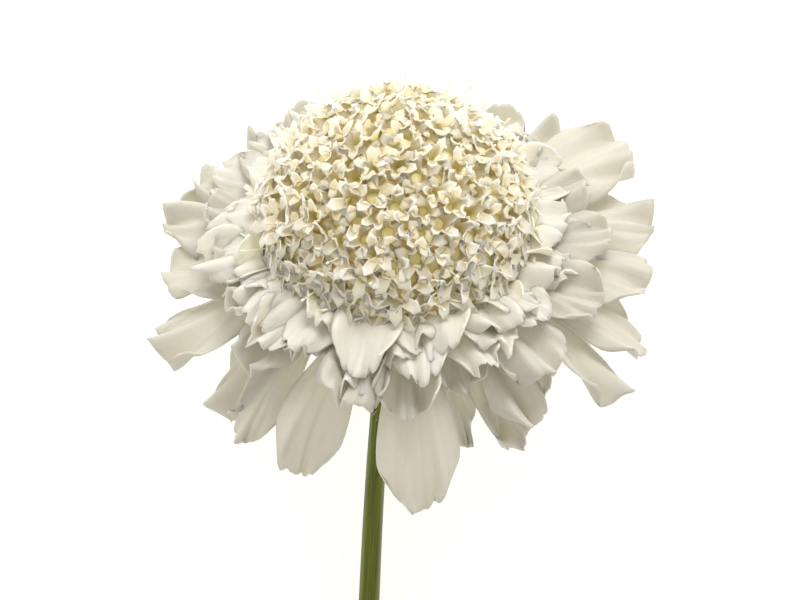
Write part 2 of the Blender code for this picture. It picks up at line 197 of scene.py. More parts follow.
def petalMaterial(name, look):
    material, shader = startMaterial(name, {
        "Roughness": look["roughness"],
        "IOR": 1.4,
        "Subsurface Weight": 0.55,
        "Subsurface Radius": (1.0, 0.95, 0.8),
        "Subsurface Scale": 0.0015,
        "Sheen Weight": 0.08,
        "Sheen Roughness": 0.5,
    })
    uv = addNode(material, "ShaderNodeUVMap", {"uv_map": "surfaceMap"})
    place = addNode(material, "ShaderNodeSeparateXYZ", links={"Vector": (uv, "UV")})
    along = addNode(material, "ShaderNodeValToRGB", links={"Fac": (place, "Y")})
    setRamp(along, [(0.0, look["root"]), (0.38, look["middle"]), (1.0, look["tip"])])
    stretched = addNode(material, "ShaderNodeMapping", inputs={"Scale": (look["veinsAcross"], 1.4, 1.0)},
                        links={"Vector": (uv, "UV")})
    veins = addNode(material, "ShaderNodeTexNoise", inputs={"Scale": 1.0, "Detail": 3.0, "Roughness": 0.6},
                    links={"Vector": (stretched, "Vector")})
    veinShare = addNode(material, "ShaderNodeMapRange",
                        inputs={"From Min": 0.42, "From Max": 0.72, "To Min": 0.0, "To Max": 0.4},
                        links={"Value": (veins, "Fac")})
    colour = addNode(material, "ShaderNodeMix", {"data_type": "RGBA"},
                     {7: linearColour(look["vein"])}, {0: (veinShare, "Result"), 6: (along, "Color")})
    linkTo(material, shader, "Base Color", colour, 2)
    objectPlace = addNode(material, "ShaderNodeTexCoord")
    crinkle = addNode(material, "ShaderNodeTexNoise",
                      inputs={"Scale": 1 / (look["crinkleSize"] * millimetre), "Detail": 2.0},
                      links={"Vector": (objectPlace, "Object")})
    ridges = addNode(material, "ShaderNodeBump", inputs={"Strength": 0.15, "Distance": 0.0002},
                     links={"Height": (veins, "Fac")})
    folds = addNode(material, "ShaderNodeBump", inputs={"Strength": 0.22, "Distance": 0.0004},
                    links={"Height": (crinkle, "Fac"), "Normal": (ridges, "Normal")})
    linkTo(material, shader, "Normal", folds, "Normal")
    return material


# Each petal: turn round the bloom from its front to the right, reach of the tip from the axis, height of
# the tip, slope at the root and at the tip, sideways drift, width, roll, cup, ruffle and height of the root.
petals = [
    (6, 32.5, -22, 10, -68, 0, 11.5, 0, 0.15, 0.45, -4.9),
    (-21, 31, -20, 10, -60, -3, 9.5, 12, 0.15, 0.5, -4.9),
    (-41, 32, -18, 5, -50, -1, 6.5, 10, 0.1, 0.5, -4.9),
    (-52, 31, -18, 5, -40, -1, 9.5, -15, 0.2, 0.8, -3.9),
    (-47, 29, -6, 5, -20, 0, 9, 0, -0.2, 0.6, -2.9),
    (-72, 36, -11, 5, -20, 1, 11.5, -10, 0.2, 0.8, -4.9),
    (-85, 33, -7, 5, -15, 0, 12.5, -15, 0.1, 0.6, -3.9),
    (-102, 34, -5, 5, -15, 0, 11, 0, 0.2, 0.8, -4.5),
    (-114, 31, -3, 8, -10, 0, 11, 0, 0.1, 0.6, -3.0),
    (-133, 28.5, -2, 10, -5, 0, 10, 0, 0.1, 0.6, -4.2),
    (-155, 33, -4.9, -5, 52, 0, 9.5, 0, 0.0, 0.1, -3.2),
    (180, 30.5, -4.8, -8, 55, 0, 10.5, 0, 0.0, 0.1, -4.2),
    (151, 34, -5.2, -5, 50, 0, 9.5, 0, 0.0, 0.1, -3.2),
    (134, 33.5, -4, 8, 0, 0, 9.5, 0, 0.1, 0.6, -4.6),
    (117, 37.5, -1, 8, 0, 0, 13.5, 0, 0.1, 0.7, -3.2),
    (98, 36.5, -4, 8, -15, 0, 12.5, 0, 0.2, 0.9, -4.6),
    (84, 36, -6, 5, -20, 0, 11, 0, 0.3, 0.5, -3.2),
    (71, 37, -12, 5, -40, 0, 9.5, 15, 0.1, 0.5, -4.8),
    (60, 36.5, -15, 5, -40, 1, 8.5, 25, 0.3, 0.5, -3.7),
    (46, 30, -6, 10, -25, 0, 11, 0, -0.2, 0.6, -2.6),
    (38, 30.5, -14, 10, -40, 1, 9, 0, -0.1, 0.7, -4.2),
    (33, 28, -21, 0, -60, 2, 7, 0, 0.1, 0.6, -5.3),
    (21, 24.5, -20, 0, -60, 1, 5, 0, 0.1, 0.5, -4.6),
    (-14, 30, -2, 20, -10, 0, 10, 0, 0.3, 1.0, -2.8),
    (3, 28, -7, 20, -45, 0, 9, 0, 0.0, 0.9, -2.8),
    (22, 25, -7, 18, -45, 0, 8, 0, 0.1, 0.7, -2.6),
    (-60, 27, 0, 6, 10, 0, 9.5, 0, -0.1, 0.5, -1.9),
    (-79, 26, 1, 6, 15, 0, 9.5, 0, 0.1, 0.5, -1.9),
    (-33, 26, 0, 6, 5, 0, 7.5, 0, 0.1, 0.6, -1.7),
    (67, 31, -1, 6, 5, 0, 9, 0, 0.0, 0.6, -1.9),
    (88, 30, 1, 6, 15, 0, 10, 0, 0.1, 0.5, -1.9),
    (107, 28, 2, 6, 20, 0, 9.5, 0, 0.1, 0.5, -1.9),
    (128, 26, 1, 6, 15, 0, 7, 0, 0.1, 0.5, -1.9),
    (-100, 27, 1, 6, 15, 0, 9.5, 0, 0.1, 0.5, -1.9),
    (-122, 26, 1.5, 6, 15, 0, 7, 0, 0.1, 0.5, -1.9),
    (-143, 26, 1, 6, 15, 0, 7, 0, 0.1, 0.5, -1.7),
]
petalShape = {
    "rows": 34,
    "columns": 27,
    "clawWidth": 2.2,
    "thickness": 0.26,
    "widerThanModel": 1.02,  # the waved edge shortens what shows of the width
    "widestShare": 0.88,  # of the length
    "tipRounding": 0.2,
    "cornerRounding": 0.17,  # of the length
    "notch": 0.018,  # of the length
    "tornEdge": 0.01,  # of the length
    "fold": 1.7,
    "crimp": 1.8,
    "tableGap": 0.05,
    "leavingPull": 0.4,  # of the length, as are the next one and the notch's depth
    "arrivingPull": 0.35,
    "openingPower": 1.7,
    "cornerPower": 2.8,
    "notchPlace": 0.4,  # of the half width, as is its own width
    "notchWidth": 0.1,
    "tornWaves": (4.1, 7.3, 12.1, 21.7, 37.3),
    "cupGrowth": 1.3,
    "ruffleWaves": 2.2,  # half waves across the petal
    "ruffleAtMiddle": 0.35,
    "ruffleStep": 1.7,  # radians from one petal to the next
    "folds": 4,
    "foldWaves": (0.8, 2.1),
    "foldSlants": (-2.2, 2.2),
    "crimpWaves": (9.0, 15.5, 24.0),
    "crimpSpread": 0.15,
    "rollGrowth": 1.2,
    "seed": 21,
}


# Petal surfaces. The middle line is a cubic path from the root to the tip. The half width grows from the
# claw as a power of a sine, and the tip is rounded, notched between three lobes and torn by five waves.
# The surface is lifted off the path by a cup, four slow random folds and three waves that run round the
# edge.
def petalGrids(rows, shape, random):
    table = np.array(rows, float)
    turn, reach, tip, rootSlope, tipSlope, drift, width, roll, cup, ruffle, root = table.T
    nothing = np.zeros(len(table))
    start = bloomPoints(nothing + bloom["petalRoot"], nothing, root, turn)
    end = bloomPoints(reach, drift, tip, turn)
    length = np.hypot(reach - bloom["petalRoot"], tip - root)[:, None]
    outward = bloomPoints(nothing + 1, nothing, nothing, turn) - bloom["centre"]
    sideways = bloomPoints(nothing, nothing + 1, nothing, turn) - bloom["centre"]
    slopes = [np.radians(slope)[:, None] for slope in (rootSlope, tipSlope)]
    rootWay, tipWay = [np.cos(slope) * outward + np.sin(slope) * axisWay for slope in slopes]
    leave = start + shape["leavingPull"] * length * rootWay
    arrive = end - shape["arrivingPull"] * length * tipWay

    along = np.linspace(0, 1, shape["rows"])[None, :, None]
    across = np.linspace(-1, 1, shape["columns"])[None, None, :]
    column = lambda values: values[:, None, None]
    fromNotch = (np.abs(across) - shape["notchPlace"]) / shape["notchWidth"]
    notch = shape["notch"] * np.exp(-(fromNotch**2))
    waves = shape["tornWaves"]
    phases = random.uniform(0, 2 * np.pi, (len(table), len(waves), 1, 1))
    torn = sum(np.sin(wave * across + phases[:, i]) / (i + 1.5) for i, wave in enumerate(waves))
    rounded = 1 - shape["cornerRounding"] * np.abs(across) ** shape["cornerPower"] - notch
    share = along * (rounded - shape["tornEdge"] * along**3 * torn)
    claw = shape["clawWidth"] / 2
    fullWidth = column(width) * shape["widerThanModel"]
    opening = np.sin(np.pi / 2 * np.clip(along / shape["widestShare"], 0, 1)) ** shape["openingPower"]
    beyond = np.clip((along - shape["widestShare"]) / (1 - shape["widestShare"]), 0, 1)
    spread = (claw + (fullWidth / 2 - claw) * opening) * (1 - shape["tipRounding"] * beyond**2)
    phase = column(shape["ruffleStep"] * np.arange(len(table)))
    lift = spread * column(cup) * across**2 * np.clip(shape["cupGrowth"] * along, 0, 1)
    ruffled = column(ruffle) * along**2 * (shape["ruffleAtMiddle"] + np.abs(across))
    lift = lift + ruffled * np.sin(shape["ruffleWaves"] * np.pi * across + phase)
    for i in range(shape["folds"]):
        wave = random.uniform(*shape["foldWaves"], (len(table), 1, 1))
        slant = random.uniform(*shape["foldSlants"], (len(table), 1, 1))
        turnOf = random.uniform(0, 2 * np.pi, (len(table), 1, 1))
        depth = shape["fold"] * column(ruffle) * along**1.3 / (1.4 + 0.6 * i)
        lift = lift + depth * np.sin(np.pi * wave * across + slant * np.pi * along + turnOf)
    nearEdge = np.maximum(np.abs(across) ** 3 * np.clip(1.4 * along - 0.15, 0, 1), along**5)
    roundEdge = np.arctan2(across * 0.9, 0.15 + 0.85 * along)
    for i, crimps in enumerate(shape["crimpWaves"]):
        edgePhase = random.uniform(0, 2 * np.pi, (len(table), 1, 1))
        wave = crimps * (1 + shape["crimpSpread"] * random.uniform(-1, 1, (len(table), 1, 1)))
        crimped = shape["crimp"] * column(ruffle) * nearEdge / (1 + i)
        lift = lift + crimped * np.sin(wave * roundEdge + edgePhase)

    t = share[..., None]
    place = lambda point: point[:, None, None, :]
    middle = ((1 - t) ** 3 * place(start) + 3 * (1 - t) ** 2 * t * place(leave)
              + 3 * (1 - t) * t**2 * place(arrive) + t**3 * place(end))
    way = (3 * (1 - t) ** 2 * place(leave - start) + 6 * (1 - t) * t * place(arrive - leave)
           + 3 * t**2 * place(end - arrive))
    way /= np.linalg.norm(way, axis=-1, keepdims=True)
    side = place(sideways) - np.sum(way * place(sideways), axis=-1, keepdims=True) * way
    side /= np.linalg.norm(side, axis=-1, keepdims=True)
    normal = np.cross(side, way)
    rolled = np.radians(column(roll)) * np.clip(share * shape["rollGrowth"], 0, 1)
    cosine, sine = np.cos(rolled)[..., None], np.sin(rolled)[..., None]
    grid = middle + (side * cosine + normal * sine) * (spread * across)[..., None]
    grid = grid + (normal * cosine - side * sine) * lift[..., None]
    lowest = shape["thickness"] / 2 + shape["tableGap"]
    grid[..., 2] = np.maximum(grid[..., 2], lowest)
    return grid


# The small lips between the dome and the petals: inner lobes of the outer florets, ruffled and half upright
lips = {
    "count": 44,
    "reach": (21.5, 29.0),
    "tip": (-1.5, 6.0),
    "rootSlope": (15, 55),
    "tipSlope": (-40, 40),
    "width": (6.5, 9.5),
    "roll": (-25, 25),
    "root": (-2.0, 0.5),
    "drift": (-1.5, 1.5),
    "cup": (-0.3, 0.5),
    "ruffle": (0.5, 0.9),
    "offPlace": (-0.45, 0.45),  # of the step from one lip to the next
    "nearestDrop": 0.35,  # how far down its range the nearest lip's tip lies
    "seed": 33,
}
lipShape = {**petalShape, "rows": 20, "columns": 19, "clawWidth": 2.4, "notch": 0.07, "tornEdge": 0.02,
            "fold": 0.8, "crimp": 1.3, "widestShare": 0.72, "tipRounding": 0.25,
            "widerThanModel": 1.25, "cornerRounding": 0.2}


# Lips evenly spaced round the bloom, each a little off its place, with its sizes drawn between two
# limits. Those that reach further lie lower.
def lipRows():
    random = np.random.default_rng(lips["seed"])
    rows = []
    for index in range(lips["count"]):
        draw = {name: random.uniform(*lips[name]) for name in
                ("rootSlope", "tipSlope", "width", "roll", "root")}
        far = random.uniform(0, 1)
        reach = lips["reach"][0] + far * (lips["reach"][1] - lips["reach"][0])
        low = lips["nearestDrop"] + (1 - lips["nearestDrop"]) * far
        tip = lips["tip"][1] - low * (lips["tip"][1] - lips["tip"][0])
        turn = 360 * (index + random.uniform(*lips["offPlace"])) / lips["count"]
        drift, cup, ruffle = [random.uniform(*lips[name]) for name in ("drift", "cup", "ruffle")]
        rows.append((turn, reach, tip, draw["rootSlope"], draw["tipSlope"], drift, draw["width"],
                     draw["roll"], cup, ruffle, draw["root"]))
    return rows


def buildPetals(name, rows, shape, random):
    grid = petalGrids(rows, shape, random)
    points, quads, smooth = sheetWithBack(grid, shape["thickness"])
    points[..., 2] = np.maximum(points[..., 2], 0.0)
    v, u = np.meshgrid(np.linspace(0, 1, shape["columns"]), np.linspace(0, 1, shape["rows"]))
    one = np.stack([v.ravel(), u.ravel()], axis=-1)
    shift = np.arange(len(grid))[:, None, None] * np.array([3.7, 0.0])  # each petal has its own veins
    surfaceMap = (np.concatenate([one, one])[None] + shift).reshape(-1, 2)
    flatPoints, faces = manyCopies(points, quads)
    return makePiece(name, flatPoints, faces, surfaceMap=surfaceMap, smooth=smooth)


# Small florets of the dome: cream tissue, moist and pale, green where it narrows into the tube
floretLook = {
    "throat": "#d9cd78",
    "cup": "#f6e9aa",
    "lobe": "#fdf5d4",
    "rim": "#fffbe9",
    "white": "#fbf7e6",
    "roughness": 0.5,
    "mottleSize": 0.9,  # mm
}


def floretMaterial():
    material, shader = startMaterial("floretTissue", {
        "Roughness": floretLook["roughness"],
        "IOR": 1.4,
        "Subsurface Weight": 0.7,
        "Subsurface Radius": (1.0, 0.92, 0.6),
        "Subsurface Scale": 0.0045,
    })
    tone = addNode(material, "ShaderNodeAttribute", {"attribute_name": "floretTone"})
    objectPlace = addNode(material, "ShaderNodeTexCoord")
    mottle = addNode(material, "ShaderNodeTexNoise",
                     inputs={"Scale": 1 / (floretLook["mottleSize"] * millimetre), "Detail": 2.0},
                     links={"Vector": (objectPlace, "Object")})
    shift = addNode(material, "ShaderNodeMapRange", inputs={"To Min": -0.12, "To Max": 0.12},
                    links={"Value": (mottle, "Fac")})
    mixed = addNode(material, "ShaderNodeMath", {"operation": "ADD"},
                    links={0: (tone, "Fac"), 1: (shift, "Result")})
    ramp = addNode(material, "ShaderNodeValToRGB", links={"Fac": (mixed, "Value")})
    setRamp(ramp, [(0.12, floretLook["throat"]), (0.42, floretLook["cup"]), (0.72, floretLook["lobe"]),
                   (1.0, floretLook["rim"])])
    outerShare = addNode(material, "ShaderNodeAttribute", {"attribute_name": "floretWhite"})
    colour = addNode(material, "ShaderNodeMix", {"data_type": "RGBA"},
                     {7: linearColour(floretLook["white"])}, {0: (outerShare, "Fac"), 6: (ramp, "Color")})
    linkTo(material, shader, "Base Color", colour, 2)
    ridges = addNode(material, "ShaderNodeBump", inputs={"Strength": 0.2, "Distance": 0.0003},
                     links={"Height": (mottle, "Fac")})
    linkTo(material, shader, "Normal", ridges, "Normal")
    return material


dome = {
    "florets": 290,
    "lowestAngle": 88.0,
    "goldenAngle": 137.508,
    "sides": 20,  # four for each of the five lobes
    "lobes": 5,
    "coreRadius": 18.7,
    "coreSides": 48,
    "coreTone": 0.45,
    "thickness": 0.12,
    "lean": 0.14,
    "lobePower": 1.6,
    "lobeLengths": (0.55, 1.45),  # of the usual length
    "lobeCurls": (-0.4, 1.7),
    "lobeGrowth": 1.35,
    "lobeLift": 1.15,
    "sizes": (0.88, 1.12),
    "unevenness": 0.5,
    "mouthBelow": 0.6,  # under the dome's mean surface
    "seatBelow": 1.0,
    "footFrom": 45.0,  # degrees from the tip, where the florets start to change towards the foot
    "footWithin": 40.0,
    "footLarger": 0.25,
    "footLonger": 1.1,
    "footLower": 0.8,
    "footFlatter": 0.7,
    "toneSpread": 0.05,
    "seed": 5,
}
# One small floret from its root to its lobes' tips: distance along its own axis from the dome's mean
# surface, radius, how much of its lobe shows there, and tone from green to cream.
floretProfile = np.array([
    (-2.9, 0.22, 0.0, 0.0),
    (-1.7, 0.50, 0.0, 0.15),
    (-0.9, 0.90, 0.08, 0.45),
    (-0.4, 1.15, 0.34, 0.7),
    (-0.1, 1.30, 0.68, 0.88),
    (0.1, 1.35, 1.0, 1.0),
])


# Directions from the dome's centre, evenly spread over it by the golden angle, with their tilts.
def domeWays(count, lowest, golden):
    step = np.arange(count) + 0.5
    tilt = np.arccos(1 - (1 - math.cos(math.radians(lowest))) * step / count)
    turn = np.radians(step * golden)
    radial = np.multiply.outer(np.cos(turn), frontWay) + np.multiply.outer(np.sin(turn), rightWay)
    facing = np.sin(tilt)[:, None] * radial + np.cos(tilt)[:, None] * axisWay
    return facing, np.degrees(tilt), radial


# Two directions square to each facing one, the first nearest to the hint.
def squareTo(facing, hint):
    first = hint - np.sum(facing * hint, axis=-1, keepdims=True) * facing
    first /= np.linalg.norm(first, axis=-1, keepdims=True)
    return first, np.cross(facing, first)


# Funnels with five pointed lobes. Round each one the radius follows its profile, and a lobe shortens by a
# power of the distance from its middle. Those that point down the dome grow longer towards its foot.
def buildSmallFlorets(material):
    random = np.random.default_rng(dome["seed"])
    count = dome["florets"]
    facing, tilt, radial = domeWays(count, dome["lowestAngle"], dome["goldenAngle"])
    seat = facing
    facing = facing + random.normal(0, dome["lean"], (count, 3))
    facing /= np.linalg.norm(facing, axis=-1, keepdims=True)
    downhill, sideways = squareTo(facing, -axisWay + 0.001 * radial)
    foot = np.clip((tilt - dome["footFrom"]) / dome["footWithin"], 0, 1)[:, None, None]

    angle = np.linspace(0, 2 * np.pi, dome["sides"], endpoint=False)[None, None, :]
    spin = random.uniform(0, 2 * np.pi, (count, 1, 1))
    fromMiddle = np.abs((dome["lobes"] * angle / (2 * np.pi) + 0.5) % 1 - 0.5) * 2
    lobe = 1 - fromMiddle ** dome["lobePower"]
    away = np.clip(np.cos(angle + spin), 0, 1)
    lobeNumber = np.floor(dome["lobes"] * angle / (2 * np.pi) + 0.5).astype(int) % dome["lobes"]
    lengths = random.uniform(*dome["lobeLengths"], (count, dome["lobes"]))
    lobeOfSide = np.broadcast_to(lobeNumber[:, 0], (count, dome["sides"]))
    lobeLength = np.take_along_axis(lengths, lobeOfSide, axis=1)
    curls = random.uniform(*dome["lobeCurls"], (count, dome["lobes"]))
    lobeCurl = np.take_along_axis(curls, lobeOfSide, axis=1)

    height, radius, lobeShare, tone = [floretProfile[:, i][None, :, None] for i in range(4)]
    size = random.uniform(*dome["sizes"], (count, 1, 1)) * (1 + dome["footLarger"] * foot)
    growth = lobeShare * lobe * lobeLength[:, None, :] * (1 + dome["footLonger"] * foot * away)
    lift = lobe * (dome["lobeLift"] * lobeShare - lobeCurl[:, None, :] * lobeShare**3)
    lift = lift * (1 - dome["footFlatter"] * foot)
    out = size * (radius * (1 - 0.2 * lobeShare * (1 - lobe)) + dome["lobeGrowth"] * growth)
    uneven = dome["unevenness"] * random.uniform(-1, 1, (count, 1, 1))
    mouth = bloom["domeRadius"] - dome["mouthBelow"] - dome["footLower"] * foot
    along = mouth + uneven + height + lift
    turned = angle + spin
    place = lambda way: way[:, None, None, :]
    middle = bloom["domeRadius"] - dome["seatBelow"]
    points = (bloom["centre"] + middle * place(seat) + (along - middle)[..., None] * place(facing)
              + (out * np.cos(turned))[..., None] * place(downhill)
              + (out * np.sin(turned))[..., None] * place(sideways))
    rows = len(floretProfile)
    tones = np.broadcast_to(tone * (0.72 + 0.28 * lobe), (count, rows, dome["sides"]))
    tones = np.clip(tones + random.normal(0, dome["toneSpread"], (count, 1, 1)), 0, 1)
    white = np.broadcast_to(foot * lobeShare, (count, rows, dome["sides"]))
    skins, quads, smooth = sheetWithBack(points, dome["thickness"], closedAcross=True)
    flatPoints, faces = manyCopies(skins, quads)
    bothSides = lambda values: np.repeat(values.reshape(count, 1, -1), 2, axis=1).ravel()
    piece = makePiece("smallFlorets", flatPoints, faces,
                      {"floretTone": bothSides(tones), "floretWhite": bothSides(white)}, smooth=smooth)
    piece.data.materials.append(material)
    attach(piece, "root")
    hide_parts("disc_florets")


# Joins the points of each ring that has shrunk to a point, so that the piece is closed there.
def closePoles(piece):
    welded = piece.modifiers.new("poles", "WELD")
    welded.merge_threshold = poleReach * millimetre


# A profile of (distance from the axis, height) turned round the bloom's axis, with poles at its ends
# where the distance is nothing, and flutes as the size of a sine.
def turnedSurface(name, profile, sides, flutes=0, fluteDepth=0.0, attributes=None):
    table = np.array(profile, float)
    turn = np.arange(sides) * 360 / sides
    flute = 1 - fluteDepth * np.abs(np.sin(np.radians(turn * flutes / 2)))
    out = table[:, :1] * flute[None, :]
    height = np.repeat(table[:, 1:2], sides, axis=1)
    points = bloomPoints(out, 0 * out, height, np.broadcast_to(turn, out.shape))
    piece = makePiece(name, points.reshape(-1, 3), gridFaces(len(table), sides, True)[:, ::-1], attributes)
    closePoles(piece)
    return piece


# The rounded receptacle between the small florets' tubes.
def buildCore(material):
    steps = np.radians(np.linspace(0, 90, 14))
    profile = [(dome["coreRadius"] * math.sin(a), dome["coreRadius"] * math.cos(a)) for a in steps]
    profile += [(12.0, -0.3), (0.0, -0.3)]
    size = len(profile) * dome["coreSides"]
    piece = turnedSurface("receptacle", profile, dome["coreSides"], attributes={
        "floretTone": np.full(size, dome["coreTone"]),
        "floretWhite": np.zeros(size),
    })
    piece.data.materials.append(material)
    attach(piece, "root")


stamens = {
    "count": 34,
    "threadRadius": 0.09,
    "antherLength": 0.9,
    "antherRadius": 0.19,
    "shortest": 0.8,
    "longest": 2.2,
    "rootDepth": 3.0,
    "lowestAngle": 80.0,
    "sides": 6,
    "spread": 0.05,
    "bend": 0.25,
    "seed": 11,
}


def stamenMaterial():
    material, shader = startMaterial("stamenTissue", {"Roughness": 0.5, "IOR": 1.4, "Subsurface Weight": 0.2,
                                                      "Subsurface Scale": 0.0004})
    place = addNode(material, "ShaderNodeTexCoord")
    grains = addNode(material, "ShaderNodeTexNoise", inputs={"Scale": 2500.0, "Detail": 1.0},
                     links={"Vector": (place, "Object")})
    ramp = addNode(material, "ShaderNodeValToRGB", links={"Fac": (grains, "Fac")})
    setRamp(ramp, [(0.35, "#efe8cc"), (0.65, "#faf5e6")])
    linkTo(material, shader, "Base Color", ramp, "Color")
    return material


# Threads that rise out of the small florets and lean, each with a spindle-shaped anther on its end. Both
# are one tube: its radius follows a profile along it.
def buildStamens(material):
    random = np.random.default_rng(stamens["seed"])
    count = stamens["count"]
    facing, _, radial = domeWays(count, stamens["lowestAngle"], dome["goldenAngle"])
    facing = facing + random.normal(0, stamens["spread"], (count, 3))
    facing /= np.linalg.norm(facing, axis=-1, keepdims=True)
    first, second = squareTo(facing, radial + 0.3 * axisWay)
    rise = random.uniform(stamens["shortest"], stamens["longest"], (count, 1))
    share = np.array([0.0, 0.0, 0.4, 0.75, 1.0, 1.0, 1.0, 1.0])[None, :]
    beyond = np.array([0.0, 0.0, 0.0, 0.0, 0.0, 0.25, 0.75, 1.0])[None, :] * stamens["antherLength"]
    thread, anther = stamens["threadRadius"], stamens["antherRadius"]
    radius = np.array([0.0, thread, thread, thread, thread * 0.8, anther, anther, 0.0])
    length = stamens["rootDepth"] + rise
    lean = stamens["bend"] * random.uniform(-1, 1, (count, 1)) * (share * length) ** 2 / 4
    height = bloom["domeRadius"] - stamens["rootDepth"] + share * length + beyond
    middle = bloom["centre"] + height[..., None] * facing[:, None] + lean[..., None] * first[:, None]
    angle = np.arange(stamens["sides"]) * 2 * math.pi / stamens["sides"]
    ring = (np.cos(angle)[None, None, :, None] * first[:, None, None]
            + np.sin(angle)[None, None, :, None] * second[:, None, None])
    points = middle[:, :, None] + radius[None, :, None, None] * ring
    quads = gridFaces(len(radius), stamens["sides"], True)
    flatPoints, faces = manyCopies(points.reshape(count, -1, 3), quads)
    piece = makePiece("stamens", flatPoints, faces)
    closePoles(piece)
    piece.data.materials.append(material)
    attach(piece, "root")


# Green tissue of the bracts, the disc under the bloom and the floret tubes, soft with fine hairs
greenLook = {
    "leaf": "#7f8f45",
    "leafPale": "#a3ab6a",
    "tube": "#d3d4a8",
    "stem": "#626b10",
    "stemDark": "#414906",
    "stemPale": "#7c841c",
    "cut": "#b9bf86",
}


# Tissue with soft blotches of the real size, and a bump from the same pattern.
def mottledMaterial(name, stops, patternMm, roughness, depth):
    material, shader = startMaterial(name, {"Roughness": roughness, "IOR": 1.4, "Subsurface Weight": 0.15,
                                            "Subsurface Scale": 0.0006, "Sheen Weight": 0.12})
    place = addNode(material, "ShaderNodeTexCoord")
    blotches = addNode(material, "ShaderNodeTexNoise",
                       inputs={"Scale": 1 / (patternMm * millimetre), "Detail": 3.0},
                       links={"Vector": (place, "Object")})
    ramp = addNode(material, "ShaderNodeValToRGB", links={"Fac": (blotches, "Fac")})
    setRamp(ramp, stops)
    linkTo(material, shader, "Base Color", ramp, "Color")
    bump = addNode(material, "ShaderNodeBump", inputs={"Strength": 0.25, "Distance": depth},
                   links={"Height": (blotches, "Fac")})
    linkTo(material, shader, "Normal", bump, "Normal")
    return material


bracts = {
    "count": 10,
    "start": 5.5,
    "rootHeight": -7.9,
    "lengthOut": 15.5,
    "tipHeight": -14.5,
    "width": 2.9,
    "thickness": 0.45,
    "rows": 26,
    "columns": 9,
    "leavingPull": 5.0,
    "arrivingPull": 2.0,
    "arch": 3.5,
    "cup": 0.25,
    "keel": 0.14,
    "wave": 0.12,
}


# A cubic path through four points (..., 3) at shares t, and its direction.
def cubicPath(points, t):
    start, leave, arrive, end = points
    t = t[..., None]
    middle = (1 - t) ** 3 * start + 3 * (1 - t) ** 2 * t * leave + 3 * (1 - t) * t**2 * arrive + t**3 * end
    way = 3 * (1 - t) ** 2 * (leave - start) + 6 * (1 - t) * t * (arrive - leave) + 3 * t**2 * (end - arrive)
    return middle, way / np.linalg.norm(way, axis=-1, keepdims=True)


# Arched pointed blades: a cubic path out and down, a half width that narrows as a power near the tip, a
# keel along the middle and a slow wave at the edge.
def bractGrids():
    turn = 360 * (np.arange(bracts["count"]) + 0.5) / bracts["count"]
    nothing = np.zeros(bracts["count"])
    outward = bloomPoints(nothing + 1, nothing, nothing, turn) - bloom["centre"]
    sideways = bloomPoints(nothing, nothing + 1, nothing, turn) - bloom["centre"]
    start = bloomPoints(nothing + bracts["start"], nothing, nothing + bracts["rootHeight"], turn)
    end = bloomPoints(nothing + bracts["lengthOut"], nothing, nothing + bracts["tipHeight"], turn)
    place = lambda point: point[:, None, None, :]
    leave = start + bracts["leavingPull"] * outward
    arrive = end - bracts["arrivingPull"] * outward + bracts["arch"] * axisWay
    path = [place(p) for p in (start, leave, arrive, end)]
    along = np.linspace(0, 1, bracts["rows"])[None, :, None]
    across = np.linspace(-1, 1, bracts["columns"])[None, None, :]
    middle, way = cubicPath(path, np.broadcast_to(along, (bracts["count"], bracts["rows"], 1)))
    side = np.broadcast_to(place(sideways), way.shape)
    normal = np.cross(side, way)
    outline = np.clip(1 - along**3.2, 0.03, 1)
    half = bracts["width"] / 2 * outline
    wave = bracts["wave"] * np.sin(9 * along + 2 * np.arange(bracts["count"])[:, None, None]) * across
    keel = bracts["keel"] * np.exp(-((across / 0.18) ** 2))
    lift = bracts["cup"] * outline * across**2 - keel + wave * along
    return middle + side * (half * across)[..., None] + normal * lift[..., None], normal


def buildBracts(material):
    grid, _ = bractGrids()
    points, quads, smooth = sheetWithBack(grid, bracts["thickness"])
    flatPoints, faces = manyCopies(points, quads)
    piece = makePiece("bractBlades", flatPoints, faces, smooth=smooth)
    disc = [(0.0, -6.9), (4.0, -6.85), (7.6, -6.9), (8.6, -7.15), (8.4, -7.8), (7.7, -8.4), (5.4, -9.1),
            (3.3, -9.6), (1.6, -9.75), (0.0, -9.75)]
    base = turnedSurface("bloomDisc", disc, 60, flutes=20, fluteDepth=0.04)
    for part in (piece, base):
        part.data.materials.append(material)
        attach(part, "root")
    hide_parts("bracts")


# The pale tubes of the outer florets side by side, as a fluted ring under the petals.
def buildTubeRing(material):
    profile = [(7.6, -0.6), (10.6, -0.45), (12.7, -0.6), (13.5, -1.4), (13.3, -3.2), (12.4, -5.2),
               (10.9, -6.3), (8.6, -6.6), (7.6, -6.5), (7.6, -0.6)]
    piece = turnedSurface("tubeRing", profile, 216, flutes=36, fluteDepth=0.05)
    piece.data.materials.append(material)
    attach(piece, "root")


stem = {
    "top": -9.9,
    "radiusTop": 1.7,
    "radiusNeck": 1.2,
    "radiusCut": 1.6,
    "lengthBack": 128.0,
    "driftLeft": 6.0,
    "neckLean": 3.3,
    "neckReach": 24.0,
    "levelReach": 66.0,
    "pressedIn": 0.22,
    "steps": 260,
    "sides": 64,
    "ribs": 8,
    "ribHeight": 0.07,
    "capDepth": 0.8,
    "modelTop": -10.0,
    "driftAtCut": 0.15,
    "thickening": 1.6,
    "flareRate": 18.75,
}


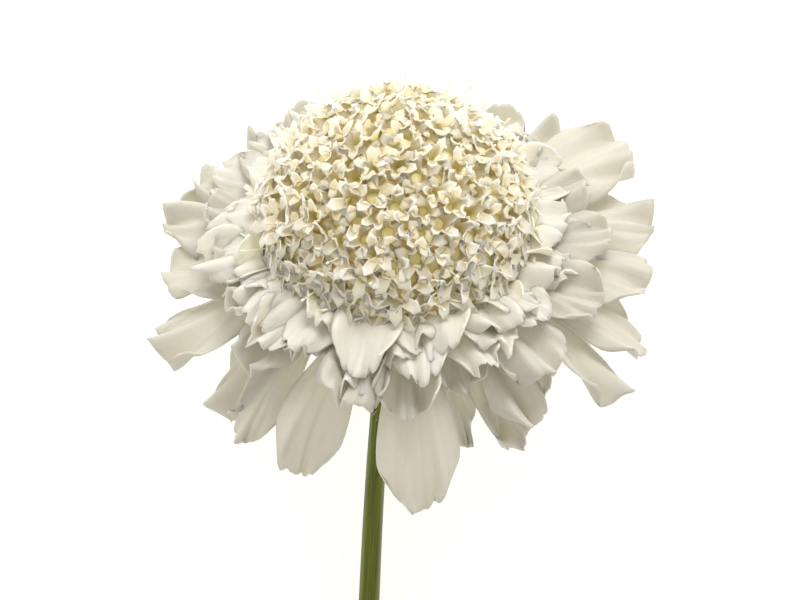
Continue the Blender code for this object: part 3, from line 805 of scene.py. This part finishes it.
# The tube along the model's own path, thicker towards the cut and flared at the bloom, with rounded ribs
# as the power of a cosine round it. It returns the points and the way out of each.
def stemGrid():
    top = bloomPoints(0.0, 0.0, stem["top"], 0.0)
    modelTop = bloomPoints(0.0, 0.0, stem["modelTop"], 0.0)
    cut = np.array([modelTop[0] - stem["driftLeft"], modelTop[1] - stem["lengthBack"],
                    stem["radiusCut"] - stem["pressedIn"]])
    arrive = cut + np.array([stem["driftAtCut"] * stem["driftLeft"], stem["levelReach"], 0.0])
    leave = modelTop - stem["neckReach"] * axisWay - stem["neckLean"] * rightWay
    t = np.linspace(0, 1, stem["steps"])
    middle, way = cubicPath((top, leave, arrive, cut), t)
    side = np.cross(way, [0.0, 0.0, 1.0])
    side /= np.linalg.norm(side, axis=-1, keepdims=True)
    above = np.cross(side, way)
    thicker = np.minimum(1, stem["thickening"] * t)
    flare = np.exp(-((stem["flareRate"] * t) ** 2))
    radius = stem["radiusNeck"] + (stem["radiusCut"] - stem["radiusNeck"]) * thicker
    radius = radius + (stem["radiusTop"] - stem["radiusNeck"]) * flare
    angle = np.linspace(0, 2 * np.pi, stem["sides"], endpoint=False)
    rib = stem["ribHeight"] * (np.abs(np.cos(stem["ribs"] * angle / 2)) ** 3 - 1)
    out = radius[:, None] + rib[None, :]
    normal = (np.cos(angle)[None, :, None] * side[:, None] + np.sin(angle)[None, :, None] * above[:, None])
    points = middle[:, None] + out[..., None] * normal
    points[..., 2] = np.maximum(points[..., 2], 0.0)
    return points, normal, t


# Fresh stalk skin: smooth, waxy, with streaks that run along it.
def stemMaterial():
    material, shader = startMaterial("stalkSkin", {"Roughness": 0.42, "IOR": 1.42, "Subsurface Weight": 0.12,
                                                   "Subsurface Scale": 0.0006})
    uv = addNode(material, "ShaderNodeUVMap", {"uv_map": "surfaceMap"})
    stretched = addNode(material, "ShaderNodeMapping", inputs={"Scale": (26.0, 9.0, 1.0)},
                        links={"Vector": (uv, "UV")})
    streaks = addNode(material, "ShaderNodeTexNoise", inputs={"Scale": 1.0, "Detail": 4.0, "Roughness": 0.6},
                      links={"Vector": (stretched, "Vector")})
    ramp = addNode(material, "ShaderNodeValToRGB", links={"Fac": (streaks, "Fac")})
    setRamp(ramp, [(0.3, greenLook["stemDark"]), (0.52, greenLook["stem"]), (0.75, greenLook["stemPale"])])
    linkTo(material, shader, "Base Color", ramp, "Color")
    bump = addNode(material, "ShaderNodeBump", inputs={"Strength": 0.3, "Distance": 0.0002},
                   links={"Height": (streaks, "Fac")})
    linkTo(material, shader, "Normal", bump, "Normal")
    return material


# A point a depth inside the stalk from the middle of its cut end.
def cutMiddle(points, depth):
    middle = points[-1].mean(axis=0)
    inwards = points[-2].mean(axis=0) - middle
    return middle + depth * inwards / np.linalg.norm(inwards)


def buildStem(material):
    points, _, t = stemGrid()
    steps, sides = stem["steps"], stem["sides"]
    around = np.linspace(0, 1, sides, endpoint=False)
    rows = np.concatenate([[0.0], t, [1.0]])
    surfaceMap = np.stack(np.meshgrid(around, rows), axis=-1).reshape(-1, 2)
    topEnd = np.broadcast_to(points[0].mean(axis=0), (1, sides, 3))
    behindCut = np.broadcast_to(cutMiddle(points, stem["capDepth"]), (1, sides, 3))
    closed = np.concatenate([topEnd, points, behindCut])
    faces = gridFaces(steps + 2, sides, True)[:, ::-1]
    piece = makePiece("stalk", closed.reshape(-1, 3), faces, surfaceMap=surfaceMap)
    closePoles(piece)
    piece.data.materials.append(material)
    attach(piece, "root")
    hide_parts("stem")
    return points


# The cut face as a thin closed plug: rings from a point inside the stalk out to its last ring, then in to
# a shallow hollow at the pith.
def buildCutEnd(points, material):
    rim = points[-1]
    middle = cutMiddle(points, 0.0)
    inwards = cutMiddle(points, 1.0) - middle
    share = np.array([0.0, 1.0, 0.86, 0.62, 0.4, 0.22, 0.0])
    depth = np.array([0.65, 0.0, -0.06, 0.0, 0.08, 0.35, 0.45])
    rings = middle + share[:, None, None] * (rim - middle)[None] + depth[:, None, None] * inwards
    piece = makePiece("stalkCut", rings.reshape(-1, 3), gridFaces(len(share), len(rim), True)[:, ::-1])
    closePoles(piece)
    piece.data.materials.append(material)
    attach(piece, "root")


hairs = {"onStem": 420, "onBracts": 700, "length": 0.75, "radius": 0.035, "seed": 3}


# Fine short hairs on the neck of the stalk and on the bracts: three-sided spikes.
def buildHairs(stemPoints, material):
    random = np.random.default_rng(hairs["seed"])
    _, stemNormals, _ = stemGrid()
    step = random.integers(2, int(stem["steps"] * 0.3), hairs["onStem"])
    side = random.integers(0, stem["sides"], hairs["onStem"])
    feet = [stemPoints[step, side]]
    ways = [stemNormals[step, side]]
    grid, normals = bractGrids()
    blade = random.integers(0, bracts["count"], hairs["onBracts"])
    row = random.integers(3, bracts["rows"] - 2, hairs["onBracts"])
    column = random.integers(0, bracts["columns"], hairs["onBracts"])
    upOrDown = random.choice([-1.0, 1.0], hairs["onBracts"])[:, None]
    feet.append(grid[blade, row, column])
    ways.append(normals[blade, row, 0] * upOrDown)
    foot = np.concatenate(feet)
    way = np.concatenate(ways) + random.normal(0, 0.25, (len(foot), 3))
    way /= np.linalg.norm(way, axis=-1, keepdims=True)
    first, second = squareTo(way, np.array([0.31, 0.52, 0.79]))
    angle = np.arange(3) * 2 * np.pi / 3
    ring = np.cos(angle)[None, :, None] * first[:, None] + np.sin(angle)[None, :, None] * second[:, None]
    base = foot[:, None] + hairs["radius"] * ring
    length = hairs["length"] * random.uniform(0.5, 1.2, (len(foot), 1))
    tip = (foot + length * way)[:, None]
    points = np.concatenate([base, tip], axis=1)
    points[..., 2] = np.maximum(points[..., 2], 0.0)
    triangles = np.array([(0, 1, 3), (1, 2, 3), (2, 0, 3), (0, 2, 1)])
    flatPoints, faces = manyCopies(points, triangles)
    piece = makePiece("fineHairs", flatPoints, faces, smooth=False)
    piece.data.materials.append(material)
    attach(piece, "root")


# A pale table top, and soft light from the image's upper right with a weak fill from the left
studio = {
    "table": "#d9d7d3",
    "tableSize": 2400.0,
    "tableGlow": 0.62,  # the table is lit from within, as a light table is
    "glow": "#fffefb",
    "air": "#fffdf8",
    "airStrength": 0.7,
}
lights = [
    # name, place along image right, image up and towards the camera in mm, size in mm, power in watts
    ("keyPanel", (120, 600, 560), 420, 4.6),
    ("fillPanel", (-520, 60, 460), 520, 0.3),
]


def buildTable():
    half = studio["tableSize"] / 2
    corners = np.array([(-half, -half, 0.0), (half, -half, 0.0), (half, half, 0.0), (-half, half, 0.0)])
    table = makePiece("tableTop", corners, np.array([(0, 1, 2, 3)]), smooth=False)
    material, _ = startMaterial("paintedTable", {
        "Base Color": linearColour(studio["table"]),
        "Roughness": 0.7,
        "Specular IOR Level": 0.2,
        "Emission Color": linearColour(studio["glow"]),
        "Emission Strength": studio["tableGlow"],
    })
    table.data.materials.append(material)


def addLights():
    target = bloom["centre"]
    for name, place, size, power in lights:
        lamp = bpy.data.lights.new(name, "AREA")
        lamp.shape = "DISK"
        lamp.size = size * millimetre
        lamp.energy = power
        panel = bpy.data.objects.new(name, lamp)
        away = place[0] * imageRight + place[1] * imageUp + place[2] * cameraWay
        panel.location = Vector(target + away) * millimetre
        panel.rotation_euler = Vector(away).to_track_quat("Z", "Y").to_euler()
        bpy.context.scene.collection.objects.link(panel)
    world = bpy.data.worlds.new("studioAir")
    world.use_nodes = True
    air = world.node_tree.nodes["Background"]
    air.inputs["Color"].default_value = linearColour(studio["air"])
    air.inputs["Strength"].default_value = studio["airStrength"]
    bpy.context.scene.world = world
    bpy.context.scene.view_settings.view_transform = "Standard"
    bpy.context.scene.cycles.diffuse_bounces = 8  # white petals pass much light on to each other


# The camera looks down on the lying flower from the photograph's angle to the bloom
view = {
    "aboveTable": 75.0,
    "distance": 480.0,
    "lens": 154.3,
    "aimRight": 0.42,
    "aimUp": -9.66,
}
cameraPitch = math.radians(view["aboveTable"])
cameraWay = np.array([0.0, math.cos(cameraPitch), math.sin(cameraPitch)])
imageUp = np.array([0.0, math.sin(cameraPitch), -math.cos(cameraPitch)])
imageRight = np.array([1.0, 0.0, 0.0])


def addCamera():
    lens = bpy.data.cameras.new("photoCamera")
    lens.sensor_width = 36
    lens.lens = view["lens"]
    camera = bpy.data.objects.new("photoCamera", lens)
    aim = bloom["centre"] + view["aimRight"] * imageRight + view["aimUp"] * imageUp
    camera.location = Vector(aim + view["distance"] * cameraWay) * millimetre
    turned = Matrix(np.stack([imageRight, imageUp, cameraWay], axis=-1).tolist())
    camera.rotation_euler = turned.to_euler()
    bpy.context.scene.collection.objects.link(camera)
    bpy.context.scene.camera = camera


addCamera()
print("camera placed")
random = np.random.default_rng(petalShape["seed"])
petalShadedTissue = petalMaterial("petalShadedTissue", petalShadedLook)
rayPetals = buildPetals("rayPetals", petals, petalShape, random)
rayPetals.data.materials.append(petalShadedTissue)
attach(rayPetals, "root")
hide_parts("outer_florets")
innerLips = buildPetals("innerLips", lipRows(), lipShape, random)
innerLips.data.materials.append(petalMaterial("lipLitTissue", lipLitLook))
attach(innerLips, "root")
print("petals made", len(rayPetals.data.polygons) + len(innerLips.data.polygons))

floretTissue = floretMaterial()
buildSmallFlorets(floretTissue)
buildCore(floretTissue)
buildStamens(stamenMaterial())
print("dome made")
leafStops = [(0.35, greenLook["leaf"]), (0.7, greenLook["leafPale"])]
# The tube ring's paler stop is the petals' middle colour, which is greyed as painted shade
tubeStops = [(0.35, greenLook["tube"]), (0.7, petalShadedLook["middle"])]
cutStops = [(0.35, greenLook["cut"]), (0.7, greenLook["stemPale"])]
leafTissue = mottledMaterial("leafTissue", leafStops, 1.6, 0.6, 0.0003)
tubeTissue = mottledMaterial("tubeTissue", tubeStops, 1.2, 0.55, 0.0002)
cutTissue = mottledMaterial("cutStalk", cutStops, 0.4, 0.5, 0.0001)
hairTissue = mottledMaterial("fineHair", [(0.3, "#cfd3b0"), (0.7, "#e8e9d8")], 0.8, 0.6, 0.0001)
buildBracts(leafTissue)
buildTubeRing(tubeTissue)
stemPoints = buildStem(stemMaterial())
buildCutEnd(stemPoints, cutTissue)
buildHairs(stemPoints, hairTissue)
print("bracts, ring, stalk and hairs made")
buildTable()
addLights()
print("table and lights placed")
